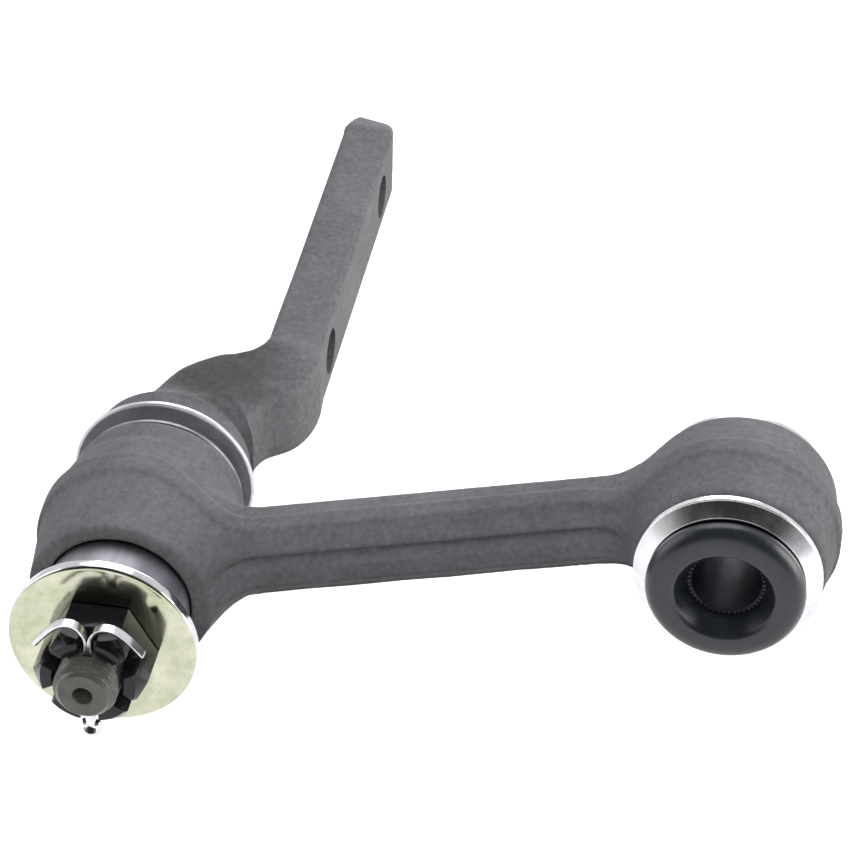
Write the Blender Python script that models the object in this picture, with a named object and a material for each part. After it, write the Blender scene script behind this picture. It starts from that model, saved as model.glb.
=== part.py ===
# Idler arm of a vehicle steering linkage: a frame bracket with its spindle,
# a forged arm on rubber bushes, and a rubber bushed link eye at the far end.
# Metres, +Z up. The origin is the middle of the flat bolt face of the bracket,
# halfway between its two bolt holes. The bolt face looks along +X and the
# pivot axis runs along Y, with the castle nut at the -Y end.

import math

import bmesh
import bpy

# Bracket bar and its bolt holes
BOLT_SPACING = 0.06985
BOLT_HOLE_D = 0.0112
BAR_THICK = 0.0133
BAR_TALL = 0.018
BAR_PAST_HOLE = 0.0258
SHOULDER_TO_HOLE = 0.048

# Pivot axis, seen from the middle of the bolt face
PIVOT_BACK = 0.0295
PIVOT_DROP = 0.0045

# Boss, spindle and thread of the bracket
BOSS_D = 0.0372
BOSS_LENGTH = 0.0052
SPINDLE_D = 0.0186
THREAD_D = 0.0142875
STUD_PROUD = 0.0047
STUD_CHAMFER = 0.0018
CENTRE_DRILL_D = 0.0048
COTTER_HOLE_D = 0.0044

# Clamped stack on the spindle
CUP_D = 0.0424
CUP_T = 0.0018
CUP_DISH = 0.0019
PIVOT_SLEEVE_LENGTH = 0.0595
PIVOT_SLEEVE_D = 0.0230
WASHER_D = 0.0425
WASHER_T = 0.0030
NUT_FLATS = 0.0222
NUT_HEIGHT = 0.0130
SLOT_WIDTH = 0.0042
SLOT_DEPTH = 0.0056
COTTER_D = 0.0032

# Forged arm
ARM_CENTRES = 0.140
ARM_SWING_DEG = 15.4
BARREL_LENGTH = 0.0412
BARREL_D = 0.0460
BARREL_FACE_D = 0.0408
BARREL_BORE_D = 0.0330
BARREL_SHIFT = 0.003
EYE_LENGTH = 0.0274
EYE_D = 0.0440
EYE_FACE_D = 0.0404
EYE_BORE_D = 0.0312
EYE_SHIFT = 0.0167
BEAM_SHIFT = 0.0076
BEAM_LEAN = 0.0016
BEAM_WIDE = 0.0150
BEAM_TALL = 0.0174
BEAM_LIFT = 0.0004

# Bushes
SHELL_WALL = 0.0014
REAR_FLANGE_D = 0.0372
REAR_FLANGE_T = 0.0011
LINK_FLANGE_D = 0.0400
LINK_RUBBER_D = 0.0358
LINK_RUBBER_PROUD = 0.0090
LINK_REAR_FLANGE_D = 0.0368
LINK_REAR_RUBBER_D = 0.0310
LINK_REAR_PROUD = 0.0072
LINK_SLEEVE_D = 0.0188
LINK_BORE_D = 0.0146

# Working gap left between neighbouring pieces
GAP = 0.0003
ROUND = 40

# Positions worked out from the sizes above
BOLT_Y = BOLT_SPACING / 2.0
SHOULDER_Y = -BOLT_Y - SHOULDER_TO_HOLE
CUP_FRONT_Y = SHOULDER_Y - CUP_T - GAP
SLEEVE_REAR_Y = CUP_FRONT_Y - GAP
SLEEVE_FRONT_Y = SLEEVE_REAR_Y - PIVOT_SLEEVE_LENGTH
WASHER_REAR_Y = SLEEVE_FRONT_Y - GAP
WASHER_FRONT_Y = WASHER_REAR_Y - WASHER_T
NUT_REAR_Y = WASHER_FRONT_Y - GAP
NUT_FRONT_Y = NUT_REAR_Y - NUT_HEIGHT
STUD_END_Y = NUT_FRONT_Y - STUD_PROUD
COTTER_Y = NUT_FRONT_Y + SLOT_DEPTH * 0.3
BARREL_Y = (SLEEVE_REAR_Y + SLEEVE_FRONT_Y) / 2.0 + BARREL_SHIFT
EYE_Y = BARREL_Y - EYE_SHIFT
BEAM_Y = BARREL_Y - BEAM_SHIFT
SWING = math.radians(ARM_SWING_DEG)
PIVOT_X = -PIVOT_BACK
PIVOT_Z = -PIVOT_DROP
LINK_X = PIVOT_X + ARM_CENTRES * math.cos(SWING)
LINK_Z = PIVOT_Z + ARM_CENTRES * math.sin(SWING)


def clear_scene():
    """Empties the file before anything is made."""
    for obj in list(bpy.data.objects):
        bpy.data.objects.remove(obj, do_unlink=True)


def make_material(name, colour, metallic, roughness):
    """A plain surface for one kind of piece."""
    mat = bpy.data.materials.new(name)
    mat.use_nodes = True
    shader = mat.node_tree.nodes.get("Principled BSDF")
    shader.inputs["Base Color"].default_value = (*colour, 1.0)
    shader.inputs["Metallic"].default_value = metallic
    shader.inputs["Roughness"].default_value = roughness
    return mat


def make_object(name, verts, faces, mat, place=(0.0, 0.0, 0.0), turn=0.0):
    """A closed mesh, its faces turned outward, with its origin at place."""
    mesh = bpy.data.meshes.new(name)
    mesh.from_pydata(verts, [], faces)
    mesh.materials.append(mat)
    work = bmesh.new()
    work.from_mesh(mesh)
    bmesh.ops.recalc_face_normals(work, faces=work.faces)
    if work.calc_volume(signed=True) < 0.0:
        bmesh.ops.reverse_faces(work, faces=work.faces)
    work.to_mesh(mesh)
    work.free()
    mesh.shade_smooth()
    mesh.set_sharp_from_angle(angle=math.radians(35.0))
    obj = bpy.data.objects.new(name, mesh)
    obj.location = place
    obj.rotation_euler = (0.0, -turn, 0.0)
    bpy.context.scene.collection.objects.link(obj)
    return obj


def revolve(name, profile, mat, place, turn=0.0, steps=ROUND):
    """Turns a closed outline of (radius, y) points about the Y axis."""
    verts = []
    starts = []
    for radius, along in profile:
        starts.append(len(verts))
        if radius < 1e-9:
            verts.append((0.0, along, 0.0))
            continue
        for k in range(steps):
            angle = 2.0 * math.pi * k / steps
            verts.append((radius * math.cos(angle), along, radius * math.sin(angle)))
    faces = []
    count = len(profile)
    for i in range(count):
        j = (i + 1) % count
        on_axis_i = profile[i][0] < 1e-9
        on_axis_j = profile[j][0] < 1e-9
        if on_axis_i and on_axis_j:
            continue
        for k in range(steps):
            n = (k + 1) % steps
            if on_axis_i:
                faces.append((starts[i], starts[j] + k, starts[j] + n))
            elif on_axis_j:
                faces.append((starts[i] + k, starts[j], starts[i] + n))
            else:
                faces.append((starts[i] + k, starts[j] + k, starts[j] + n, starts[i] + n))
    return make_object(name, verts, faces, mat, place, turn)


def rounded_loop(half_u, half_v, radius, per_corner=6):
    """Points round a rectangle with round corners, as (u, v)."""
    radius = min(radius, half_u, half_v)
    centres = [
        (half_u - radius, half_v - radius, 0.0),
        (radius - half_u, half_v - radius, 90.0),
        (radius - half_u, radius - half_v, 180.0),
        (half_u - radius, radius - half_v, 270.0),
    ]
    points = []
    for cu, cv, first in centres:
        for k in range(per_corner + 1):
            angle = math.radians(first + 90.0 * k / per_corner)
            points.append((cu + radius * math.cos(angle), cv + radius * math.sin(angle)))
    return points


def loft(name, loops, mat, place, turn=0.0):
    """Skins a row of loops of equal length and closes both ends."""
    size = len(loops[0])
    verts = [point for loop in loops for point in loop]
    faces = []
    for i in range(len(loops) - 1):
        for k in range(size):
            n = (k + 1) % size
            a = i * size
            b = (i + 1) * size
            faces.append((a + k, b + k, b + n, a + n))
    faces.append(tuple(range(size)))
    last = (len(loops) - 1) * size
    faces.append(tuple(last + k for k in range(size)))
    return make_object(name, verts, faces, mat, place, turn)


def as_cutter(obj):
    """Keeps a helper shape out of the finished part."""
    obj.hide_render = True
    obj.display_type = "WIRE"


def combine(obj, other, how):
    """Adds or removes a helper shape."""
    as_cutter(other)
    mod = obj.modifiers.new(other.name, "BOOLEAN")
    mod.operation = how
    mod.solver = "EXACT"
    mod.object = other


def box(name, half, centre, mat, place, spin=0.0):
    """A box in the X-Z plane of a round piece, spun about the Y axis."""
    verts = []
    for sx in (-1.0, 1.0):
        for sy in (-1.0, 1.0):
            for sz in (-1.0, 1.0):
                x = centre[0] + sx * half[0]
                y = centre[1] + sy * half[1]
                z = centre[2] + sz * half[2]
                xr = x * math.cos(spin) - z * math.sin(spin)
                zr = x * math.sin(spin) + z * math.cos(spin)
                verts.append((xr, y, zr))
    faces = [(0, 1, 3, 2), (4, 6, 7, 5), (0, 4, 5, 1), (2, 3, 7, 6), (0, 2, 6, 4), (1, 5, 7, 3)]
    return make_object(name, verts, faces, mat, place)


def bracket_loops():
    """Cross sections of the forging, from the spindle shoulder to the bar end."""
    boss = BOSS_D / 2.0
    bar_u = BAR_THICK / 2.0
    bar_v = BAR_TALL / 2.0
    bar_x = PIVOT_BACK - bar_u
    rise = PIVOT_DROP
    reach = bar_x
    hole = SHOULDER_TO_HOLE
    end = SHOULDER_TO_HOLE + BOLT_SPACING + BAR_PAST_HOLE
    rows = [
        # along the spine: sideways, forward from the shoulder, up, heading, half sizes, corner
        (0.0, 0.0, 0.0, 0.0, boss, boss, boss),
        (0.0, BOSS_LENGTH, 0.0, 0.0, boss, boss, boss),
        (0.0, BOSS_LENGTH + BOSS_D * 0.011, 0.0, 0.0, boss * 0.973, boss * 0.973, boss),
        (reach * 0.04, hole * 0.149, rise * 0.07, 4.0, boss * 0.90, boss * 0.90, boss * 0.87),
        (reach * 0.20, hole * 0.205, rise * 0.22, 13.0, boss * 0.80, boss * 0.80, boss * 0.67),
        (reach * 0.34, hole * 0.313, rise * 0.66, 36.0, boss * 0.683, boss * 0.683, boss * 0.45),
        (reach * 0.577, hole * 0.438, rise * 1.02, 44.0, bar_u * 1.66, bar_v * 1.12, bar_u * 0.75),
        (reach * 0.786, hole * 0.525, rise * 0.91, 33.0, bar_u * 1.55, bar_v * 1.087, bar_u * 0.54),
        (reach * 0.931, hole * 0.630, rise * 0.91, 19.4, bar_u * 1.29, bar_v * 1.086, bar_u * 0.46),
        (reach, hole * 0.733, rise * 1.07, 13.8, bar_u * 1.108, bar_v * 1.023, bar_u * 0.42),
        (reach, hole * 0.83, rise, 0.0, bar_u, bar_v, bar_u * 0.38),
        (reach, hole + BOLT_SPACING * 0.3, rise, 0.0, bar_u, bar_v, bar_u * 0.38),
        (reach, hole + BOLT_SPACING * 0.7, rise, 0.0, bar_u, bar_v, bar_u * 0.38),
        (reach, end - bar_v * 1.1, rise, 4.0, bar_u, bar_v, bar_u * 0.38),
        (reach - bar_u * 0.07, end - bar_v * 0.77, rise, 5.0, bar_u * 0.965, bar_v, bar_u * 0.38),
        (reach - bar_u * 0.08, end - bar_v * 0.46, rise * 0.92, 11.0, bar_u * 0.9, bar_v * 0.967, bar_u * 0.4),
        (reach, end - bar_v * 0.21, rise * 0.95, 18.0, bar_u * 0.88, bar_v * 0.888, bar_u * 0.42),
        (reach, end, rise, 20.0, bar_u * 0.49, bar_v * 0.6, bar_u * 0.36),
    ]
    loops = []
    for side, ahead, up, heading, half_u, half_v, corner in rows:
        turn = math.radians(heading)
        loop = []
        for u, v in rounded_loop(half_u, half_v, corner):
            x = side + u * math.cos(turn)
            y = ahead - u * math.sin(turn)
            loop.append((x, y, up + v))
        loops.append(loop)
    return loops


def make_bracket(mat):
    """Forged bracket with its spindle turned on the end of the boss."""
    place = (PIVOT_X, SHOULDER_Y, PIVOT_Z)
    obj = loft("bracket", bracket_loops(), mat, place)
    spin = SPINDLE_D / 2.0
    thread = THREAD_D / 2.0
    drill = CENTRE_DRILL_D / 2.0
    step = SLEEVE_FRONT_Y - SHOULDER_Y + 0.0012
    end = STUD_END_Y - SHOULDER_Y
    profile = [
        (0.0, 0.004),
        (spin, 0.004),
        (spin, step + 0.0006),
        (thread, step),
        (thread, end + STUD_CHAMFER),
        (thread - STUD_CHAMFER * 0.75, end),
        (drill, end),
        (drill * 0.45, end + 0.0016),
        (drill * 0.45, end + 0.0042),
        (0.0, end + 0.0042),
    ]
    combine(obj, revolve("spindle_shape", profile, mat, place), "UNION")
    hole = COTTER_HOLE_D / 2.0
    cutter = upright_cylinder("cotter_hole_cut", hole, 0.022, mat, (PIVOT_X, COTTER_Y, PIVOT_Z))
    combine(obj, cutter, "DIFFERENCE")
    for name, y in (("front", -BOLT_Y), ("rear", BOLT_Y)):
        cutter = bolt_cylinder(name + "_bolt_hole_cut", mat, (-BAR_THICK / 2.0, y, 0.0))
        combine(obj, cutter, "DIFFERENCE")
    return obj


def cylinder_along(name, radius, length, axis, mat, place, steps):
    """A plain cylinder centred on place, along X or Z."""
    verts = []
    for end in (-length / 2.0, length / 2.0):
        for k in range(steps):
            angle = 2.0 * math.pi * k / steps
            c = radius * math.cos(angle)
            s = radius * math.sin(angle)
            verts.append((end, c, s) if axis == "X" else (c, s, end))
    faces = [tuple(range(steps)), tuple(range(steps, 2 * steps))]
    for k in range(steps):
        n = (k + 1) % steps
        faces.append((k, n, steps + n, steps + k))
    return make_object(name, verts, faces, mat, place)


def upright_cylinder(name, radius, length, mat, place):
    """A cutter along Z for the cotter pin hole."""
    return cylinder_along(name, radius, length, "Z", mat, place, 24)


def bolt_cylinder(name, mat, place):
    """A cutter along X for a bolt hole through the bar."""
    return cylinder_along(name, BOLT_HOLE_D / 2.0, BAR_THICK * 2.4, "X", mat, place, 40)


def flare(distance):
    """Extra half height of the beam near an eye, from the distance to its axis."""
    table = [
        (0.0, 0.0120), (0.0134, 0.0100), (0.0155, 0.0078), (0.018, 0.0050),
        (0.021, 0.0025), (0.025, 0.0010), (0.030, 0.0003), (0.035, 0.0), (1.0, 0.0),
    ]
    for (d0, f0), (d1, f1) in zip(table, table[1:]):
        if distance <= d1:
            return f0 + (f1 - f0) * (distance - d0) / (d1 - d0)
    return 0.0


def beam_loops():
    """Cross sections of the arm between the two eyes."""
    stations = [0.0, 0.0134, 0.0155, 0.018, 0.021, 0.025, 0.030, 0.036]
    rows = [(s, s) for s in stations]
    rows += [(ARM_CENTRES / 2.0, 0.05)]
    rows += [(ARM_CENTRES - s, s) for s in reversed(stations)]
    loops = []
    for x, distance in rows:
        near_barrel = x < ARM_CENTRES / 2.0
        extra = flare(distance) * (1.0 if near_barrel else 1.15)
        goal = BARREL_Y if near_barrel else EYE_Y
        length = BARREL_LENGTH if near_barrel else EYE_LENGTH
        blend = min(1.0, extra / 0.012)
        line = BEAM_Y + BEAM_LEAN * (0.5 - x / ARM_CENTRES)
        centre = line + (goal - line) * 0.5 * blend
        half_u = BEAM_WIDE / 2.0 + 0.5 * extra
        front = centre - half_u
        rear = centre + half_u
        if distance < 0.027:
            front = max(front, goal - length / 2.0 + 0.0006)
            rear = min(rear, goal + length / 2.0 - 0.0006)
        half_u = (rear - front) / 2.0
        half_v = BEAM_TALL * (0.51 - 0.03 * x / ARM_CENTRES) + extra
        loop = []
        for u, v in rounded_loop(half_u, half_v, BEAM_WIDE * 0.36):
            loop.append((x, (front + rear) / 2.0 - BARREL_Y + u, v + BEAM_LIFT))
        loops.append(loop)
    return loops


def forged_eye(name, middle_d, face_d, length, along, centre, mat, place, collar=0.0):
    """A drafted forging round an axis, with the trimmed band at its middle."""
    half = length / 2.0
    wide = middle_d / 2.0
    face = face_d / 2.0
    land = 0.0024
    profile = [
        (0.0, -half),
        (face - 0.0009, -half),
        (face, -half + 0.0010),
        (wide - 0.0003, -land),
        (wide, -land + 0.0004),
        (wide, land - 0.0004),
        (wide - 0.0003, land),
        (face + 0.0002, half - collar - 0.0010),
        (face - collar * 0.06, half - collar),
        (face - collar * 0.09, half - 0.0008),
        (face - collar * 0.09 - 0.0008, half),
        (0.0, half),
    ]
    shifted = [(r, y + centre) for r, y in profile]
    shape = revolve(name, shifted, mat, place, SWING, 56)
    if along:
        shape.location = (LINK_X, place[1], LINK_Z)
    return shape


def make_arm(mat):
    """One forging: barrel, beam and link eye, bored right through at both ends."""
    place = (PIVOT_X, BARREL_Y, PIVOT_Z)
    obj = loft("idler_arm", beam_loops(), mat, place, SWING)
    barrel = forged_eye(
        "barrel_shape", BARREL_D, BARREL_FACE_D, BARREL_LENGTH, False, 0.0, mat, place, 0.0065)
    combine(obj, barrel, "UNION")
    eye = forged_eye(
        "eye_shape", EYE_D, EYE_FACE_D, EYE_LENGTH, True, EYE_Y - BARREL_Y, mat, place)
    combine(obj, eye, "UNION")
    bore = BARREL_BORE_D / 2.0
    reach = BARREL_LENGTH
    outline = [(0.0, -reach), (bore, -reach), (bore, reach), (0.0, reach)]
    combine(obj, revolve("barrel_bore_cut", outline, mat, place, SWING, 56), "DIFFERENCE")
    bore = EYE_BORE_D / 2.0
    reach = EYE_LENGTH
    outline = [(0.0, -reach), (bore, -reach), (bore, reach), (0.0, reach)]
    link = (LINK_X, EYE_Y, LINK_Z)
    combine(obj, revolve("eye_bore_cut", outline, mat, link, SWING, 56), "DIFFERENCE")
    return obj


def make_front_shell(mat):
    """Steel shell of the front bush, standing out of the barrel to the washer."""
    outer = BARREL_BORE_D / 2.0 - GAP
    inner = outer - SHELL_WALL
    front = WASHER_REAR_Y + 0.0008 - BARREL_Y
    rear = -0.0006
    lip = inner - 0.0016
    profile = [
        (inner, rear),
        (outer, rear),
        (outer, front + 0.0012),
        (outer - 0.0006, front + 0.0003),
        (outer - 0.0016, front),
        (lip, front),
        (lip, front + SHELL_WALL),
        (inner, front + SHELL_WALL + 0.0004),
    ]
    return revolve("front_bush_shell", profile, mat, (PIVOT_X, BARREL_Y, PIVOT_Z), SWING)


def make_front_rubber(mat):
    """Rubber of the front bush, between its shell and the pivot sleeve."""
    inner = PIVOT_SLEEVE_D / 2.0 + GAP
    outer = BARREL_BORE_D / 2.0 - SHELL_WALL - 2.0 * GAP
    front = WASHER_REAR_Y + 0.0008 - BARREL_Y
    lip = outer + GAP - 0.0016 - GAP
    profile = [
        (inner, -0.0010),
        (outer - 0.0008, -0.0010),
        (outer, -0.0020),
        (outer, front + SHELL_WALL + 0.0008),
        (lip, front + SHELL_WALL + 0.0003),
        (lip, front + 0.0002),
        (lip - 0.0006, front - 0.0003),
        (inner + 0.0004, front - 0.0003),
        (inner, front + 0.0002),
    ]
    return revolve("front_bush_rubber", profile, mat, (PIVOT_X, BARREL_Y, PIVOT_Z), SWING)


def make_rear_shell(mat):
    """Flanged steel shell of the rear bush, seated on the end of the barrel."""
    outer = BARREL_BORE_D / 2.0 - GAP
    inner = outer - SHELL_WALL
    seat = BARREL_LENGTH / 2.0 + GAP
    flange = REAR_FLANGE_D / 2.0
    profile = [
        (inner, 0.0006),
        (outer, 0.0006),
        (outer, seat),
        (flange - 0.0004, seat),
        (flange, seat + 0.0004),
        (flange, seat + REAR_FLANGE_T - 0.0003),
        (flange - 0.0004, seat + REAR_FLANGE_T),
        (inner + 0.0006, seat + REAR_FLANGE_T),
        (inner, seat + REAR_FLANGE_T - 0.0006),
    ]
    return revolve("rear_bush_shell", profile, mat, (PIVOT_X, BARREL_Y, PIVOT_Z), SWING)


def make_rear_rubber(mat):
    """Rubber of the rear bush, filling the space up to the cup washer."""
    inner = PIVOT_SLEEVE_D / 2.0 + GAP
    outer = BARREL_BORE_D / 2.0 - SHELL_WALL - 2.0 * GAP
    seat = BARREL_LENGTH / 2.0 + GAP + REAR_FLANGE_T + GAP
    rear = CUP_FRONT_Y - GAP - BARREL_Y
    bulge = min(REAR_FLANGE_D, CUP_D) / 2.0 - 0.0016
    profile = [
        (inner, 0.0010),
        (outer - 0.0008, 0.0010),
        (outer, 0.0020),
        (outer, seat),
        (bulge - 0.0010, seat),
        (bulge, seat + 0.0012),
        (bulge, rear - 0.0016),
        (bulge - 0.0014, rear),
        (inner, rear),
    ]
    return revolve("rear_bush_rubber", profile, mat, (PIVOT_X, BARREL_Y, PIVOT_Z), SWING)


def make_pivot_sleeve(mat):
    """Inner sleeve clamped on the spindle between the two washers."""
    outer = PIVOT_SLEEVE_D / 2.0
    inner = SPINDLE_D / 2.0 + GAP
    half = PIVOT_SLEEVE_LENGTH / 2.0
    edge = 0.0005
    profile = [
        (inner, -half),
        (outer - edge, -half),
        (outer, -half + edge),
        (outer, half - edge),
        (outer - edge, half),
        (inner, half),
    ]
    middle = (SLEEVE_FRONT_Y + SLEEVE_REAR_Y) / 2.0
    return revolve("pivot_inner_sleeve", profile, mat, (PIVOT_X, middle, PIVOT_Z))


def make_cup_washer(mat):
    """Dished washer against the spindle shoulder, its rim curled toward the arm."""
    inner = SPINDLE_D / 2.0 + GAP
    outer = CUP_D / 2.0
    back = -GAP
    front = -GAP - CUP_T
    knee = outer - 0.0040
    profile = [
        (inner, front),
        (knee, front),
        (outer - 0.0010, front - CUP_DISH * 0.8),
        (outer - 0.0004, front - CUP_DISH),
        (outer, front - CUP_DISH + 0.0005),
        (outer, front - CUP_DISH + 0.0013),
        (knee + 0.0012, back),
        (inner, back),
    ]
    return revolve("rear_cup_washer", profile, mat, (PIVOT_X, SHOULDER_Y, PIVOT_Z))


def make_front_washer(mat):
    """Thick flat washer under the castle nut."""
    inner = THREAD_D / 2.0 + GAP
    outer = WASHER_D / 2.0
    edge = 0.0007
    profile = [
        (inner, -WASHER_T),
        (outer - edge, -WASHER_T),
        (outer, -WASHER_T + edge),
        (outer, -edge),
        (outer - edge, 0.0),
        (inner, 0.0),
    ]
    return revolve("front_washer", profile, mat, (PIVOT_X, WASHER_REAR_Y, PIVOT_Z))


def make_castle_nut(mat):
    """Slotted hexagon nut, its six slots in line with the flats."""
    place = (PIVOT_X, NUT_REAR_Y, PIVOT_Z)
    corner = NUT_FLATS / 2.0 / math.cos(math.radians(30.0))
    loops = []
    for y in (0.0, -NUT_HEIGHT):
        loop = []
        for k in range(6):
            angle = math.radians(60.0 * k)
            loop.append((corner * math.cos(angle), y, corner * math.sin(angle)))
        loops.append(loop)
    obj = loft("castle_nut", loops, mat, place)
    flat = NUT_FLATS / 2.0
    over = 0.001
    chamfer = [
        (0.0, over),
        (flat + 0.0012, over),
        (corner + 0.0006, -0.0012),
        (corner + 0.0006, -NUT_HEIGHT + 0.0040),
        (flat - 0.0010, -NUT_HEIGHT),
        (flat - 0.0012, -NUT_HEIGHT - over),
        (0.0, -NUT_HEIGHT - over),
    ]
    combine(obj, revolve("nut_chamfer_cut", chamfer, mat, place), "INTERSECT")
    bore = THREAD_D / 2.0 + GAP
    sink = bore + 0.0008
    outline = [
        (0.0, over),
        (bore, over),
        (bore, -NUT_HEIGHT + 0.0009),
        (sink, -NUT_HEIGHT - 0.0001),
        (sink, -NUT_HEIGHT - over),
        (0.0, -NUT_HEIGHT - over),
    ]
    combine(obj, revolve("nut_bore_cut", outline, mat, place), "DIFFERENCE")
    half = (corner * 1.2, SLOT_DEPTH, SLOT_WIDTH / 2.0)
    for k in range(3):
        name = "nut_slot_cut_" + str(k + 1)
        spin = math.radians(30.0 + 60.0 * k)
        cutter = box(name, half, (0.0, -NUT_HEIGHT, 0.0), mat, place, spin)
        combine(obj, cutter, "DIFFERENCE")
    return obj


def cotter_path():
    """Middle line of the bent wire, as (sideways, up) about the pivot axis."""
    flat = NUT_FLATS / 2.0
    lean = COTTER_D / 4.0 + 0.00006
    left_leg = [
        (-1.072, 0.694), (-0.955, 0.847), (-0.775, 1.054), (-0.577, 1.225),
        (-0.396, 1.288), (-0.234, 1.252), (-0.126, 1.126),
    ]
    right_leg = [
        (0.126, 1.126), (0.243, 1.243), (0.414, 1.270), (0.595, 1.207),
        (0.793, 1.045), (0.955, 0.874), (1.099, 0.712),
    ]
    left = [(x * flat, z * flat) for x, z in left_leg]
    right = [(x * flat, z * flat) for x, z in right_leg]
    down = [(-lean, z * flat) for z in (0.93, 0.36, -0.36, -1.072)]
    up = [(lean, -z * flat) for z in (1.072, 0.36, -0.36, -0.93)]
    ring = flat * 0.117
    centre = -flat * 1.225
    loop = []
    for k in range(9):
        angle = math.radians(140.0 + 260.0 * k / 8.0)
        loop.append((ring * math.cos(angle), centre + ring * math.sin(angle)))
    return left + down + loop + up + right


def make_cotter_pin(mat):
    """Split pin of half round wire, its legs bent over the nut."""
    path = cotter_path()
    radius = COTTER_D / 2.0
    loops = []
    for i, (px, pz) in enumerate(path):
        ax, az = path[max(i - 1, 0)]
        bx, bz = path[min(i + 1, len(path) - 1)]
        length = math.hypot(bx - ax, bz - az)
        tx = (bx - ax) / length
        tz = (bz - az) / length
        side_x = tz
        side_z = -tx
        loop = []
        for k in range(7):
            angle = math.radians(-90.0 + 180.0 * k / 6.0)
            out = radius * math.cos(angle) - radius * 0.5
            deep = radius * 0.94 * math.sin(angle)
            loop.append((px + side_x * out, deep, pz + side_z * out))
        loops.append(loop)
    return loft("cotter_pin", loops, mat, (PIVOT_X, COTTER_Y, PIVOT_Z))


def make_link_shell(name, side, mat):
    """Steel shell of one half of the link bush, with its cupped flange."""
    outer = EYE_BORE_D / 2.0 - GAP
    inner = outer - SHELL_WALL
    seat = EYE_LENGTH / 2.0 + GAP
    rim = (LINK_FLANGE_D if side < 0 else LINK_REAR_FLANGE_D) / 2.0
    wall = 0.0012
    profile = [
        (inner, 0.0006),
        (outer, 0.0006),
        (outer, seat),
        (rim - 0.0016, seat),
        (rim, seat + 0.0012),
        (rim, seat + 0.0021),
        (rim - 0.0007, seat + 0.0022),
        (rim - 0.0022, seat + wall),
        (inner + 0.0006, seat + wall),
        (inner, seat + wall - 0.0006),
    ]
    shifted = [(r, side * y) for r, y in profile]
    return revolve(name, shifted, mat, (LINK_X, EYE_Y, LINK_Z), SWING)


def make_link_rubber(name, side, mat):
    """Rubber of one half of the link bush, standing proud of its flange."""
    inner = LINK_SLEEVE_D / 2.0 + GAP
    outer = EYE_BORE_D / 2.0 - SHELL_WALL - 2.0 * GAP
    seat = EYE_LENGTH / 2.0 + GAP + 0.0012 + GAP
    proud = LINK_RUBBER_PROUD if side < 0 else LINK_REAR_PROUD
    face = EYE_LENGTH / 2.0 + proud
    bulge = (LINK_RUBBER_D if side < 0 else LINK_REAR_RUBBER_D) / 2.0
    profile = [
        (inner, 0.0010),
        (outer, 0.0010),
        (outer, seat),
        (bulge - 0.0016, seat),
        (bulge - 0.0004, seat + 0.0012),
        (bulge, seat + 0.0028),
        (bulge - 0.0005, face - 0.0022),
        (bulge - 0.0017, face - 0.0007),
        (bulge - 0.0036, face),
        (inner + 0.0012, face),
        (inner, face - 0.0012),
    ]
    shifted = [(r, side * y) for r, y in profile]
    return revolve(name, shifted, mat, (LINK_X, EYE_Y, LINK_Z), SWING)


def make_link_sleeve(mat):
    """Inner sleeve of the link bush, bored for the bolt of the steering link."""
    outer = LINK_SLEEVE_D / 2.0
    inner = LINK_BORE_D / 2.0
    half = EYE_LENGTH / 2.0 + LINK_RUBBER_PROUD - 0.0008
    profile = [
        (inner + 0.0005, -half),
        (outer, -half),
        (outer, half),
        (inner + 0.0005, half),
        (inner, half - 0.0005),
        (inner, -half + 0.0005),
    ]
    return revolve("link_inner_sleeve", profile, mat, (LINK_X, EYE_Y, LINK_Z), SWING)


def build():
    """Makes every piece of the idler arm."""
    clear_scene()
    forged = make_material("forged_steel", (0.12, 0.12, 0.125), 0.6, 0.62)
    turned = make_material("bright_steel", (0.72, 0.72, 0.74), 1.0, 0.3)
    zinc = make_material("yellow_zinc", (0.76, 0.75, 0.60), 1.0, 0.28)
    clear_zinc = make_material("clear_zinc", (0.76, 0.77, 0.78), 1.0, 0.25)
    oxide = make_material("black_oxide", (0.02, 0.02, 0.022), 0.7, 0.25)
    rubber = make_material("black_rubber", (0.015, 0.015, 0.017), 0.0, 0.4)
    make_bracket(forged)
    make_arm(forged)
    make_front_shell(turned)
    make_front_rubber(rubber)
    make_rear_shell(turned)
    make_rear_rubber(rubber)
    make_pivot_sleeve(turned)
    make_cup_washer(clear_zinc)
    make_front_washer(zinc)
    make_castle_nut(oxide)
    make_cotter_pin(clear_zinc)
    make_link_shell("link_front_shell", -1.0, clear_zinc)
    make_link_rubber("link_front_rubber", -1.0, rubber)
    make_link_shell("link_rear_shell", 1.0, clear_zinc)
    make_link_rubber("link_rear_rubber", 1.0, rubber)
    make_link_sleeve(turned)


build()
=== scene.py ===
# Looks of the steering idler arm: fine meshes and surfaces for the two forgings,
# the rubber bushes, the plated washers, the slotted nut and its split pin,
# with a pale studio and the camera of the photograph.
# Metres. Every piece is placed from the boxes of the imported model's nodes.

import math

import bmesh
import bpy
import numpy as np
from mathutils import Matrix, Quaternion, Vector
from mathutils import noise as noise_lib


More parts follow.
